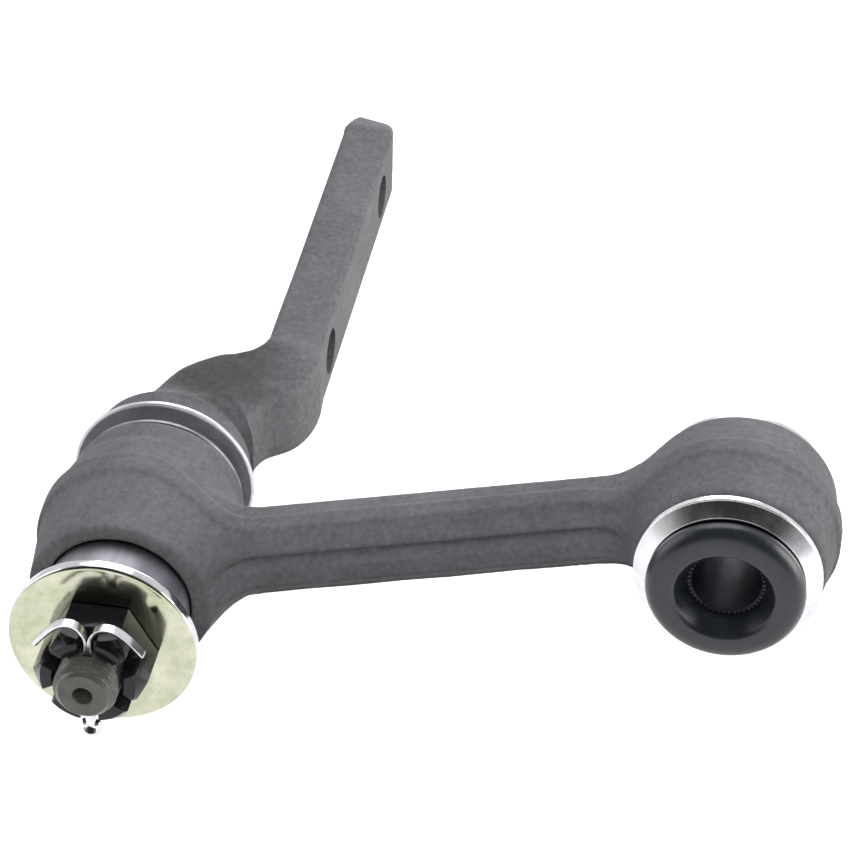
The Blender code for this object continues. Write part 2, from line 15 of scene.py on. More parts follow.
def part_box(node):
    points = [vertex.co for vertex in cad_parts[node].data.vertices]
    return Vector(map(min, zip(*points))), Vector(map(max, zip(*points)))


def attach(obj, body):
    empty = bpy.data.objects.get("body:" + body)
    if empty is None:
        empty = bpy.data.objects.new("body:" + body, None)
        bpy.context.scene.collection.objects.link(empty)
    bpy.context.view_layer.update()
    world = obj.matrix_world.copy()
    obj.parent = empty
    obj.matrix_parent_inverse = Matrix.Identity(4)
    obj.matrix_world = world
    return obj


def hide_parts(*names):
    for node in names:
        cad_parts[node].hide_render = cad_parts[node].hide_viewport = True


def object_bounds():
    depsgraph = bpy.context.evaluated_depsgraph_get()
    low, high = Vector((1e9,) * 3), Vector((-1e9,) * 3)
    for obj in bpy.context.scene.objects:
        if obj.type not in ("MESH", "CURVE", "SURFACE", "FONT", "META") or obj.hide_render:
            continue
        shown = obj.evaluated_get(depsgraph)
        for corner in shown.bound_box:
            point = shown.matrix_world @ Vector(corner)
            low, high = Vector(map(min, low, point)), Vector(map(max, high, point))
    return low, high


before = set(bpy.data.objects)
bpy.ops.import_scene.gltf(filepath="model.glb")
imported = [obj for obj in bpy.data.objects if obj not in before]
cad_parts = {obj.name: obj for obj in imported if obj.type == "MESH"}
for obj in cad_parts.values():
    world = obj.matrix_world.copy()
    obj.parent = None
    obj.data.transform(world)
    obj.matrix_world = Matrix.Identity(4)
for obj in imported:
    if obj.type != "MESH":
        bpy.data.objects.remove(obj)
CAD_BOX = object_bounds()

# The arm is photographed swung up from the level of the bracket
SWING = math.radians(15.4)
ARM_CENTRES = 0.140

# Sizes that more than one form shares, or that set a fit
BARREL_BORE = 0.0165
EYE_BORE = 0.0156
BAND_HEIGHT = 0.00068
BOLT_RADIUS = 0.0056
STUD_RADIUS = 0.00714375
THREAD_PITCH = 0.0254 / 18.0
NUT_FLAT = 0.0111

# Fineness of the meshes; the arm's keeps it under 200,000 triangles
ARM_VOXEL = 0.00056
TURNED_STEPS = 160

FLOOR_DROP = 0.06


def middle(node):
    """Middle of a node's box at rest."""
    low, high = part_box(node)
    return Vector([(low[i] + high[i]) / 2.0 for i in range(3)])


def span(node, axis):
    """Lowest and highest value of a node's box along an axis."""
    low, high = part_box(node)
    return low[axis], high[axis]


def in_barrel(node):
    """Front and rear of a node's box, from the middle of the barrel."""
    front, rear = span(node, 1)
    return front - BARREL_Y, rear - BARREL_Y


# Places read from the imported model
PIVOT = middle("front_washer")
LINK = middle("link_inner_sleeve")
BARREL_Y = middle("pivot_inner_sleeve").y + 0.003
WASHER_FRONT, WASHER_REAR = span("front_washer", 1)
CUP_RIM, CUP_BACK = span("rear_cup_washer", 1)
NUT_FRONT, NUT_REAR = span("castle_nut", 1)
STUD_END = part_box("bracket")[0][1]
SHOULDER_Y = CUP_BACK + 0.0003
PIN_Y = middle("cotter_pin").y


# Small helpers

def set_input(shader, name, value):
    """Sets one socket of a shader."""
    shader.inputs[name].default_value = value


def new_object(name, data):
    """An object with that data, linked into the scene."""
    obj = bpy.data.objects.new(name, data)
    bpy.context.scene.collection.objects.link(obj)
    return obj


def add_piece(name, mesh, body, mat, stands_for):
    """Puts a finished mesh in the scene, on its body and in place of its nodes."""
    obj = new_object(name, mesh)
    mesh.materials.clear()
    mesh.materials.append(mat)
    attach(obj, body)
    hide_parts(*stands_for)


def turns(steps):
    """Angles of evenly spaced points round a circle."""
    return [2.0 * math.pi * k / steps for k in range(steps)]


def quads(rows, steps, closed=False):
    """Faces between rings of points in turn; closed joins the last to the first."""
    faces = []
    for i in range(rows if closed else rows - 1):
        j = (i + 1) % rows
        for k in range(steps):
            n = (k + 1) % steps
            faces.append((i * steps + k, j * steps + k, j * steps + n, i * steps + n))
    return faces


def lids(rows, steps):
    """The faces that fill the first and the last ring."""
    return [tuple(range(steps)), tuple((rows - 1) * steps + k for k in range(steps))]


def cut_by(obj, mesh, how="DIFFERENCE"):
    """Cuts an object by a mesh, and returns the working object that does it."""
    tool = new_object(mesh.name, mesh)
    mod = obj.modifiers.new("cut", "BOOLEAN")
    mod.operation = how
    mod.solver = "EXACT"
    mod.object = tool
    return tool


def settle(obj, name, helpers=()):
    """Mesh of an object with its modifiers done, its working objects removed."""
    graph = bpy.context.evaluated_depsgraph_get()
    mesh = bpy.data.meshes.new_from_object(obj.evaluated_get(graph))
    mesh.name = name
    for spare in (*helpers, obj):
        bpy.data.objects.remove(spare, do_unlink=True)
    return mesh


def finish_mesh(mesh, sharp_deg=32.0):
    """Turns faces outward and shades round surfaces smooth."""
    work = bmesh.new()
    work.from_mesh(mesh)
    bmesh.ops.recalc_face_normals(work, faces=work.faces)
    if work.calc_volume(signed=True) < 0.0:
        bmesh.ops.reverse_faces(work, faces=work.faces)
    work.to_mesh(mesh)
    work.free()
    mesh.shade_smooth()
    mesh.set_sharp_from_angle(angle=math.radians(sharp_deg))
    return mesh


def place_mesh(mesh, origin, turn=0.0):
    """Moves mesh points from a piece's own axis to its place in the model."""
    mesh.transform(Matrix.Translation(origin) @ Matrix.Rotation(-turn, 4, "Y"))
    return mesh


def round_corners(outline, radius, steps=4):
    """Softens the corners of a closed outline of (radius, y, softness) points."""
    count = len(outline)
    soft = []
    for i in range(count):
        prev = Vector(outline[i - 1][:2])
        here = Vector(outline[i][:2])
        after = Vector(outline[(i + 1) % count][:2])
        want = outline[i][2] if len(outline[i]) > 2 else radius
        back = (prev - here).length
        ahead = (after - here).length
        reach = min(want, back * 0.45, ahead * 0.45)
        if reach < 1e-6:
            soft.append(tuple(here))
            continue
        start = here + (prev - here).normalized() * reach
        end = here + (after - here).normalized() * reach
        for k in range(steps + 1):
            t = k / steps
            point = start * (1 - t) ** 2 + here * 2 * t * (1 - t) + end * t ** 2
            soft.append(tuple(point))
    return soft


def turned(name, outline, softness=0.0003, steps=TURNED_STEPS, ripple=None):
    """A turned piece about the Y axis from a closed outline of (radius, y)."""
    points = round_corners(outline, softness)
    verts = []
    for radius, along in points:
        for angle in turns(steps):
            y = along + (ripple(radius, along, angle) if ripple else 0.0)
            verts.append((radius * math.cos(angle), y, radius * math.sin(angle)))
    mesh = bpy.data.meshes.new(name)
    mesh.from_pydata(verts, [], quads(len(points), steps, True))
    return finish_mesh(mesh, 38.0)


def capped(name, outline, steps=96):
    """A solid of revolution about Y with flat ends, for cutting."""
    verts = []
    for radius, along in outline:
        for angle in turns(steps):
            verts.append((radius * math.cos(angle), along, radius * math.sin(angle)))
    mesh = bpy.data.meshes.new(name)
    mesh.from_pydata(verts, [], lids(len(outline), steps) + quads(len(outline), steps))
    return finish_mesh(mesh)


# Shader building

def new_material(name):
    """A material with its Principled shader and the object coordinates."""
    mat = bpy.data.materials.new(name)
    mat.use_nodes = True
    tree = mat.node_tree
    shader = tree.nodes["Principled BSDF"]
    coords = tree.nodes.new("ShaderNodeTexCoord")
    return mat, tree, shader, coords.outputs["Object"]


def noise(tree, coords, scale, detail, rough, stretch=None):
    """A noise value, stretched along the axes if asked."""
    if stretch:
        mapping = tree.nodes.new("ShaderNodeMapping")
        mapping.inputs["Scale"].default_value = stretch
        tree.links.new(coords, mapping.inputs["Vector"])
        coords = mapping.outputs["Vector"]
    node = tree.nodes.new("ShaderNodeTexNoise")
    node.inputs["Scale"].default_value = scale
    node.inputs["Detail"].default_value = detail
    node.inputs["Roughness"].default_value = rough
    tree.links.new(coords, node.inputs["Vector"])
    return node.outputs["Fac"]


def ramp(tree, value, stops):
    """Turns a value into colours, given as (place, colour) stops."""
    node = tree.nodes.new("ShaderNodeValToRGB")
    bar = node.color_ramp
    while len(bar.elements) < len(stops):
        bar.elements.new(0.5)
    for element, (place, colour) in zip(bar.elements, stops):
        element.position = place
        element.color = (*colour, 1.0)
    tree.links.new(value, node.inputs["Fac"])
    return node.outputs["Color"]


def mix_colour(tree, factor, first, second, how="MIX"):
    """Mixes two colours, given as sockets or as plain colours."""
    node = tree.nodes.new("ShaderNodeMix")
    node.data_type = "RGBA"
    node.blend_type = how
    for socket, value in ((node.inputs[6], first), (node.inputs[7], second)):
        if isinstance(value, tuple):
            socket.default_value = (*value, 1.0)
        else:
            tree.links.new(value, socket)
    if isinstance(factor, float):
        node.inputs[0].default_value = factor
    else:
        tree.links.new(factor, node.inputs[0])
    return node.outputs[2]


def multiply(tree, first, second):
    """One colour times another."""
    return mix_colour(tree, 1.0, first, second, "MULTIPLY")


def grey(value):
    """The same value in all three channels."""
    return (value, value, value)


def fade(tree, value, low, high):
    """A grey that runs from one (place, grey) pair to another."""
    return ramp(tree, value, [(place, grey(level)) for place, level in (low, high)])


def facing(tree):
    """The parts along X, Y and Z of the surface's own direction."""
    coords = tree.nodes.new("ShaderNodeTexCoord")
    split = tree.nodes.new("ShaderNodeSeparateXYZ")
    tree.links.new(coords.outputs["Normal"], split.inputs[0])
    return split.outputs


def bump(tree, height, strength, distance, below=None):
    """A bump from a height, on top of another bump if given."""
    node = tree.nodes.new("ShaderNodeBump")
    node.inputs["Strength"].default_value = strength
    node.inputs["Distance"].default_value = distance
    tree.links.new(height, node.inputs["Height"])
    if below is not None:
        tree.links.new(below, node.inputs["Normal"])
    return node.outputs["Normal"]


def edge_wear(tree, low, high):
    """White on worn outer edges, black elsewhere."""
    geometry = tree.nodes.new("ShaderNodeNewGeometry")
    return fade(tree, geometry.outputs["Pointiness"], (low, 0.0), (high, 1.0))


def forged_material(name, neck_shade=None):
    """Shot-blasted forging: leathery grain over cloudy scale.

    The neck shade argument gives the middle and reach of a dark patch on what faces up,
    partly patina and partly painted shade; faces towards +X then get painted light, a lighter
    tone.
    """
    mat, tree, shader, coords = new_material(name)
    cloud = noise(tree, coords, 48.0, 6.0, 0.62)
    grain = noise(tree, coords, 760.0, 4.0, 0.62)
    dents = noise(tree, coords, 300.0, 4.0, 0.6)
    base = ramp(tree, cloud, [
        (0.28, (0.130, 0.130, 0.137)),
        (0.50, (0.156, 0.155, 0.166)),
        (0.74, (0.186, 0.184, 0.199)),
    ])
    speckle = ramp(tree, grain, [(0.28, grey(0.80)), (0.50, grey(1.0)), (0.72, grey(1.22))])
    base = multiply(tree, base, speckle)
    pits = fade(tree, dents, (0.30, 0.90), (0.48, 1.0))
    base = multiply(tree, base, pits)
    # Painted shade: a dark patch on the upward faces round the neck, partly patina and partly the
    # shade of the boss and washer
    if neck_shade:
        place, reach = neck_shade
        away = tree.nodes.new("ShaderNodeVectorMath")
        away.operation = "DISTANCE"
        tree.links.new(coords, away.inputs[0])
        away.inputs[1].default_value = place
        ripple = tree.nodes.new("ShaderNodeMath")
        ripple.operation = "MULTIPLY_ADD"
        ripple.inputs[1].default_value = reach * 0.8
        tree.links.new(cloud, ripple.inputs[0])
        tree.links.new(away.outputs["Value"], ripple.inputs[2])
        shade_and_patina = ramp(tree, ripple.outputs[0], [
            (reach * 0.75, (0.40, 0.385, 0.37)), (reach * 1.45, (1.0, 1.0, 1.0))])
        along = facing(tree)
        upward = fade(tree, along["Z"], (0.15, 0.0), (0.60, 1.0))
        shade_and_patina = mix_colour(tree, upward, (1.0, 1.0, 1.0), shade_and_patina)
        base = multiply(tree, base, shade_and_patina)
        # Painted light: faces towards +X are made lighter, standing in for the light from the
        # right
        painted_right_light = ramp(tree, along["X"], [
            (0.70, (1.0, 1.0, 1.0)), (0.97, (1.36, 1.36, 1.31))])
        base = multiply(tree, base, painted_right_light)
    tree.links.new(base, shader.inputs["Base Color"])
    rough = fade(tree, dents, (0.3, 0.58), (0.7, 0.70))
    tree.links.new(rough, shader.inputs["Roughness"])
    set_input(shader, "Specular IOR Level", 0.08)
    first = bump(tree, dents, 0.60, 0.00030)
    tree.links.new(bump(tree, grain, 0.55, 0.00016, first), shader.inputs["Normal"])
    return mat


def plated_material(name, tints, rough, rim=None):
    """Plating with colour drift and handling marks; the rim may take a whiter tint, a painted
    highlight.
    """
    mat, tree, shader, coords = new_material(name)
    drift = noise(tree, coords, 95.0, 6.0, 0.66)
    marks = noise(tree, coords, 420.0, 5.0, 0.7, (1.0, 0.25, 1.0))
    base = ramp(tree, drift, [(0.32, tints[0]), (0.50, tints[1]), (0.66, tints[2])])
    # Painted highlight: faces away from the flat faces, the edges, take a whiter rim tint
    if rim:
        flat = tree.nodes.new("ShaderNodeMath")
        flat.operation = "ABSOLUTE"
        tree.links.new(facing(tree)["Y"], flat.inputs[0])
        on_face = fade(tree, flat.outputs[0], (0.45, 0.0), (0.80, 1.0))
        base = mix_colour(tree, on_face, rim, base)
    shade = fade(tree, marks, (0.25, 0.86), (0.6, 1.0))
    base = multiply(tree, base, shade)
    tree.links.new(base, shader.inputs["Base Color"])
    tree.links.new(fade(tree, drift, (0.3, rough), (0.75, rough + 0.12)),
                   shader.inputs["Roughness"])
    set_input(shader, "Metallic", 1.0)
    fine = noise(tree, coords, 900.0, 3.0, 0.6)
    tree.links.new(bump(tree, fine, 0.15, 0.00004), shader.inputs["Normal"])
    return mat


def drawn_steel_material(name):
    """Drawn and pressed steel with marks running along the pivot axis."""
    mat, tree, shader, coords = new_material(name)
    streak = noise(tree, coords, 260.0, 4.0, 0.65, (1.0, 0.08, 1.0))
    tint = noise(tree, coords, 70.0, 3.0, 0.5, (1.0, 0.4, 1.0))
    base = ramp(tree, tint, [
        (0.32, (0.25, 0.24, 0.29)), (0.5, (0.36, 0.35, 0.39)), (0.68, (0.48, 0.48, 0.49))])
    dark = fade(tree, streak, (0.28, 0.70), (0.55, 1.0))
    tree.links.new(multiply(tree, base, dark), shader.inputs["Base Color"])
    tree.links.new(fade(tree, streak, (0.3, 0.50), (0.7, 0.42)), shader.inputs["Roughness"])
    set_input(shader, "Metallic", 1.0)
    tree.links.new(bump(tree, streak, 0.12, 0.00006), shader.inputs["Normal"])
    return mat


def dark_steel_material(name, colour, metallic, rough, gloss=0.5):
    """Dark treated steel: oxide, phosphate or plain turned."""
    mat, tree, shader, coords = new_material(name)
    patch = noise(tree, coords, 180.0, 4.0, 0.6)
    fine = noise(tree, coords, 700.0, 4.0, 0.6)
    low = tuple(c * 0.72 for c in colour)
    high = tuple(c * 1.35 for c in colour)
    base = ramp(tree, patch, [(0.3, low), (0.7, high)])
    worn = edge_wear(tree, 0.53, 0.66)
    base = mix_colour(tree, worn, base, tuple(min(1.0, c * 2.2 + 0.004) for c in colour))
    set_input(shader, "Specular IOR Level", gloss)
    tree.links.new(base, shader.inputs["Base Color"])
    tree.links.new(fade(tree, fine, (0.3, rough), (0.75, rough + 0.14)),
                   shader.inputs["Roughness"])
    set_input(shader, "Metallic", metallic)
    tree.links.new(bump(tree, fine, 0.25, 0.00008), shader.inputs["Normal"])
    return mat


def rubber_material(name, low, high):
    """Moulded black rubber, satin, with a light bloom and mould texture."""
    mat, tree, shader, coords = new_material(name)
    bloom = noise(tree, coords, 110.0, 6.0, 0.62)
    skin = noise(tree, coords, 750.0, 4.0, 0.6)
    base = ramp(tree, bloom, [(0.30, low), (0.72, high)])
    tree.links.new(base, shader.inputs["Base Color"])
    tree.links.new(fade(tree, skin, (0.3, 0.26), (0.7, 0.38)), shader.inputs["Roughness"])
    set_input(shader, "Specular IOR Level", 0.55)
    tree.links.new(bump(tree, skin, 0.35, 0.00008), shader.inputs["Normal"])
    return mat


# The forged arm, as a smooth blend of its three forms

class Profile:
    """Smoothed signed distance to a closed outline, kept as a fine table."""

    def __init__(self, outline, blur):
        pts = np.array(outline)
        margin = 0.014
        self.step = 0.00015
        self.low = pts.min(axis=0) - margin
        size = np.ceil((pts.max(axis=0) + margin - self.low) / self.step).astype(int)
        u = self.low[0] + self.step * np.arange(size[0])
        v = self.low[1] + self.step * np.arange(size[1])
        u, v = np.meshgrid(u, v, indexing="ij")
        best = np.full(u.shape, 1e9)
        inside = np.zeros(u.shape, dtype=bool)
        for i in range(len(pts)):
            a = pts[i - 1]
            b = pts[i]
            ex, ey = b - a
            wx = u - a[0]
            wy = v - a[1]
            t = np.clip((wx * ex + wy * ey) / (ex * ex + ey * ey), 0.0, 1.0)
            best = np.minimum(best, (wx - ex * t) ** 2 + (wy - ey * t) ** 2)
            if a[1] != b[1]:
                at = (b[0] - a[0]) * (v - a[1]) / (b[1] - a[1]) + a[0]
                inside ^= ((a[1] > v) != (b[1] > v)) & (u < at)
        table = np.where(inside, -np.sqrt(best), np.sqrt(best))
        reach = max(1, int(round(blur / self.step)))
        for _ in range(2):
            for axis in (0, 1):
                total = np.zeros_like(table)
                for k in range(-reach, reach + 1):
                    total += np.roll(table, k, axis=axis)
                table = total / (2 * reach + 1)
        self.table = table

    def __call__(self, u, v):
        """Distance of points, read from the table."""
        nx, ny = self.table.shape
        fx = np.clip((u - self.low[0]) / self.step, 0.0, nx - 1.001)
        fy = np.clip((v - self.low[1]) / self.step, 0.0, ny - 1.001)
        ix = fx.astype(int)
        iy = fy.astype(int)
        tx = fx - ix
        ty = fy - iy
        t = self.table
        lower = t[ix, iy] * (1 - tx) + t[ix + 1, iy] * tx
        upper = t[ix, iy + 1] * (1 - tx) + t[ix + 1, iy + 1] * tx
        outside = np.hypot(u - self.low[0] - fx * self.step, v - self.low[1] - fy * self.step)
        return lower * (1 - ty) + upper * ty + outside


def smooth_min(a, b, reach):
    """Joins two distances with a fillet of about that reach."""
    h = np.clip(reach - np.abs(a - b), 0.0, None) / reach
    return np.minimum(a, b) - h * h * reach * 0.25


def smooth_max(a, b, reach):
    """Cuts one distance by another, easing the edge between them."""
    return -smooth_min(-a, -b, reach)


def ease(t):
    """Smooth step from 0 to 1."""
    t = np.clip(t, 0.0, 1.0)
    return t * t * (3.0 - 2.0 * t)


def relax(points, edges, share):
    """Evens out the points of a mesh along its edges."""
    count = len(points)
    total = np.zeros_like(points)
    near = np.bincount(edges.ravel(), minlength=count)
    for axis in range(3):
        total[:, axis] = np.bincount(edges[:, 0], points[edges[:, 1], axis], count)
        total[:, axis] += np.bincount(edges[:, 1], points[edges[:, 0], axis], count)
    return points * (1 - share) + share * total / np.maximum(near, 1)[:, None]


def roughen(points, directions, size, height, seed):
    """Moves points in and out by a soft random height."""
    moved = points.copy()
    for i in range(len(points)):
        at = Vector(points[i]) / size + Vector((seed, 0.0, 0.0))
        amount = noise_lib.noise(at) + 0.5 * noise_lib.noise(at * 2.3)
        moved[i] += directions[i] * (amount * height)
    return moved


def make_arm(mat):
    """Barrel, grooved beam and eye as one forging with a trimmed parting band."""
    eye_y = LINK.y - BARREL_Y
    beam_y = -0.0076
    barrel_half = 0.0206
    eye_half = 0.0137
    barrel_line = 0.00045
    eye_line = -0.0167
    barrel_fillet = 0.0115
    eye_fillet = 0.0092
    edge = 0.0010
    barrel = Profile([
        (-0.010, -barrel_half), (0.0203, -barrel_half), (0.0206, -0.0196),
        (0.0228, -0.0010), (0.0229, 0.0036), (0.0214, 0.0116),
        (0.0206, 0.0138), (0.0203, 0.0190), (0.0196, barrel_half), (-0.010, barrel_half),
    ], 0.0005)
    eye = Profile([
        (-0.010, -eye_half), (0.0200, -eye_half), (0.0204, -0.0124),
        (0.0219, -0.0026), (0.0219, 0.0028), (0.0205, 0.0124),
        (0.0200, eye_half), (-0.010, eye_half),
    ], 0.0005)
    beam = Profile([
        (0.0076, -0.0040), (0.0077, 0.0036), (0.0049, 0.0088), (0.0000, 0.0092),
        (-0.0048, 0.0084), (-0.0080, 0.0038), (-0.0046, 0.0027), (-0.0050, 0.0016),
        (-0.0074, 0.0000), (-0.0077, -0.0046), (-0.0044, -0.0079), (0.0040, -0.0083),
    ], 0.00040)

    def distance(p):
        """Signed distance of points to the forging, from the middle of its barrel."""
        x, y, z = p[:, 0], p[:, 1], p[:, 2]
        near = np.hypot(x, z)
        far = np.hypot(x - ARM_CENTRES, z)
        d_barrel = barrel(near, y)
        d_eye = eye(far, y - eye_y)
        along = np.clip(x / ARM_CENTRES, 0.0, 1.0)
        slim = 1.0 - 0.03 * along
        lean = beam_y + 0.0010 - 0.0026 * along
        d_beam = beam(y - lean, z / slim)
        d_beam = np.maximum(d_beam, np.maximum(-x, x - ARM_CENTRES))
        d = smooth_min(smooth_min(d_barrel, d_beam, barrel_fillet), d_eye, eye_fillet)
        # the machined end faces stay flat
        barrel_cap = np.where(near < 0.0235, np.abs(y) - barrel_half, -1.0)
        eye_cap = np.where(far < 0.0225, np.abs(y - eye_y) - eye_half, -1.0)
        d = smooth_max(smooth_max(d, barrel_cap, edge), eye_cap, edge)
        # the trimmed band runs round the middle of each form
        on_beam = ease((x - 0.009) / 0.022)
        on_eye = ease((x - 0.104) / 0.026)
        line = barrel_line + (lean - 0.00235 - barrel_line) * on_beam
        line = line + (eye_line - line) * on_eye
        half = 0.00325 - 0.00080 * on_beam + 0.00045 * on_eye
        band = ease((y - line + half) / 0.0005) * ease((line + half + 0.0003 - y) / 0.0009)
        keep = ease((near - 0.0180) / 0.0015) * ease((far - 0.0175) / 0.0015)
        d = d - BAND_HEIGHT * band * keep
        d = smooth_max(d, BARREL_BORE - near, edge)
        return smooth_max(d, EYE_BORE - far, edge)

    def slope_of(p, step=0.00006):
        """Direction in which the distance grows."""
        slope = np.empty_like(p)
        for axis in range(3):
            shift = np.zeros(3)
            shift[axis] = step
            slope[:, axis] = (distance(p + shift) - distance(p - shift)) / (2.0 * step)
        return slope

    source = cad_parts["idler_arm"]
    mesh = source.data.copy()
    mesh.transform(source.matrix_world)
    home = Matrix.Translation((-PIVOT.x, -BARREL_Y, -PIVOT.z))
    mesh.transform(Matrix.Rotation(SWING, 4, "Y") @ home)
    work = new_object("arm_work", mesh)
    remesh = work.modifiers.new("voxels", "REMESH")
    remesh.mode = "VOXEL"
    remesh.voxel_size = ARM_VOXEL
    fine = settle(work, "forged_arm")
    count = len(fine.vertices)
    co = np.empty(count * 3)
    fine.vertices.foreach_get("co", co)
    p = co.reshape(-1, 3)
    edges = np.empty(len(fine.edges) * 2, dtype=np.int32)
    fine.edges.foreach_get("vertices", edges)
    edges = edges.reshape(-1, 2)
    for turn in range(9):
        if turn in (2, 4, 6):
            p = relax(p, edges, 0.5)
        slope = slope_of(p)
        size = np.maximum(np.linalg.norm(slope, axis=1), 0.4)
        move = np.clip(distance(p) / size, -0.0010, 0.0010)
        p = p - slope / size[:, None] * move[:, None]
    slope = slope_of(p, 0.0002)
    slope /= np.maximum(np.linalg.norm(slope, axis=1), 1e-6)[:, None]
    p = roughen(p, slope, size=0.0016, height=0.000035, seed=3.0)
    fine.vertices.foreach_set("co", p.ravel())
    fine.update()
    place_mesh(fine, (PIVOT.x, BARREL_Y, PIVOT.z), SWING)
    finish_mesh(fine, 65.0)
    add_piece("forged_arm", fine, "arm", mat, ("idler_arm",))


# The forged bracket

def monotone(xs, ys, at):
    """Smooth curve through points that never overshoots them."""
    xs = np.array(xs)
    ys = np.array(ys)
    h = np.diff(xs)
    delta = np.diff(ys) / h
    slope = np.zeros(len(xs))
    slope[0] = delta[0]
    slope[-1] = delta[-1]
    for i in range(1, len(xs) - 1):
        if delta[i - 1] * delta[i] > 0.0:
            w1 = 2 * h[i] + h[i - 1]
            w2 = h[i] + 2 * h[i - 1]
            slope[i] = (w1 + w2) / (w1 / delta[i - 1] + w2 / delta[i])
    k = np.clip(np.searchsorted(xs, at) - 1, 0, len(h) - 1)
    t = (at - xs[k]) / h[k]
    t2 = t * t
    t3 = t2 * t
    return ((2 * t3 - 3 * t2 + 1) * ys[k] + (t3 - 2 * t2 + t) * h[k] * slope[k]
            + (-2 * t3 + 3 * t2) * ys[k + 1] + (t3 - t2) * h[k] * slope[k + 1])


def section_points(half_u, half_v, corner, facet):
    """A bar section: round corners, with a shallow trimmed facet at the top left."""
    points = []
    per = 16
    wide = 0.0027
    corner = min(corner, half_u, half_v)
    for sign_u, sign_v, first in ((1, 1, 0), (-1, 1, 90), (-1, -1, 180), (1, -1, 270)):
        for k in range(per + 1):
            angle = math.radians(first + 90.0 * k / per)
            u = sign_u * (half_u - corner) + corner * math.cos(angle)
            v = sign_v * (half_v - corner) + corner * math.sin(angle)
            edge = half_u - wide
            if facet > 0.0 and u < -edge and v > 0.0:
                v -= facet * min(1.0, (-edge - u) / wide)
            points.append((u, v))
    return points


def make_bracket(mat):
    """Boss, bent neck and flat bar, drilled for the two frame bolts."""
    boss = 0.0186
    bar_u = 0.00665
    bar_v = 0.009
    rise = -PIVOT.z
    reach = -PIVOT.x - bar_u
    hole = 0.048
    pitch = 0.06985
    end = hole + pitch + 0.0258
    rows = [
        # sideways, forward from the shoulder, up, heading, half sizes, corner
        (0.0, 0.0, 0.0, 0.0, boss, boss, boss),
        (0.0, 0.0050, 0.0, 0.0, boss, boss, boss),
        (0.0, 0.0056, 0.0, 0.0, boss * 0.973, boss * 0.973, boss * 0.973),
        (reach * 0.04, 0.0072, rise * 0.07, 4.0, boss * 0.90, boss * 0.90, boss * 0.87),
        (reach * 0.20, hole * 0.205, rise * 0.22, 13.0, boss * 0.80, boss * 0.80, boss * 0.67),
        (reach * 0.34, hole * 0.313, rise * 0.66, 36.0, boss * 0.683, boss * 0.683, boss * 0.35),
        (reach * 0.577, hole * 0.438, rise * 1.02, 44.0,
         bar_u * 1.66, bar_v * 1.12, bar_u * 0.50),
        (reach * 0.786, hole * 0.525, rise * 0.91, 33.0,
         bar_u * 1.55, bar_v * 1.087, bar_u * 0.36),
        (reach * 0.931, hole * 0.630, rise * 0.91, 19.4,
         bar_u * 1.29, bar_v * 1.086, bar_u * 0.30),
        (reach, hole * 0.733, rise * 1.07, 13.8, bar_u * 1.108, bar_v * 1.023, bar_u * 0.29),
        (reach, hole * 0.83, rise, 0.0, bar_u, bar_v, bar_u * 0.24),
        (reach, hole + pitch * 0.5, rise, 0.0, bar_u, bar_v, bar_u * 0.24),
        (reach, end - bar_v * 1.1, rise, 4.0, bar_u, bar_v, bar_u * 0.24),
        (reach - bar_u * 0.07, end - bar_v * 0.77, rise, 5.0, bar_u * 0.965, bar_v, bar_u * 0.25),
        (reach - bar_u * 0.08, end - bar_v * 0.46, rise * 0.92, 11.0,
         bar_u * 0.9, bar_v * 0.967, bar_u * 0.27),
        (reach, end - bar_v * 0.21, rise * 0.95, 18.0, bar_u * 0.88, bar_v * 0.888, bar_u * 0.33),
        (reach, end - bar_v * 0.06, rise * 0.98, 20.0, bar_u * 0.70, bar_v * 0.76, bar_u * 0.36),
        (reach, end, rise, 20.0, bar_u * 0.49, bar_v * 0.6, bar_u * 0.36),
    ]
    places = [0.0]
    for a, b in zip(rows, rows[1:]):
        places.append(places[-1] + math.hypot(b[0] - a[0], b[1] - a[1]))
    samples = []
    for i in range(len(places) - 1):
        gap = places[i + 1] - places[i]
        parts = max(1, int(round(gap / 0.0010)))
        samples += [places[i] + gap * k / parts for k in range(parts)]
    samples.append(places[-1])
    at = np.array(samples)
    table = [monotone(places, [row[c] for row in rows], at) for c in range(7)]
    loops = []
    for side, ahead, up, heading, half_u, half_v, corner in zip(*table):
        turn = math.radians(heading)
        facet = 0.0008 * float(ease((ahead - hole * 0.9) / 0.03))
        loop = []
        for u, v in section_points(half_u, half_v, corner, facet):
            x = PIVOT.x + side + u * math.cos(turn)
            y = SHOULDER_Y + ahead - u * math.sin(turn)
            loop.append((x, y, PIVOT.z + up + v))
        loops.append(loop)
    mesh = bpy.data.meshes.new("forged_bracket")
    rings, size = len(loops), len(loops[0])
    verts = [point for loop in loops for point in loop]
    mesh.from_pydata(verts, [], quads(rings, size) + lids(rings, size))
    obj = new_object("bracket_work", finish_mesh(mesh, 30.0))
    steps = 72
    helpers = []
    for y in (-pitch / 2.0, pitch / 2.0):
        verts = []
        for x in (-0.010, 0.010):
            for angle in turns(steps):
                verts.append((x - bar_u, y + BOLT_RADIUS * math.cos(angle),
                              BOLT_RADIUS * math.sin(angle)))
        bolt = bpy.data.meshes.new("bolt_cut")
        bolt.from_pydata(verts, [], lids(2, steps) + quads(2, steps))
        helpers.append(cut_by(obj, finish_mesh(bolt, 30.0)))
    fine = settle(obj, "forged_bracket", helpers)
    fine.set_sharp_from_angle(angle=math.radians(30.0))
    add_piece("forged_bracket", fine, "bracket", mat, ("bracket",))


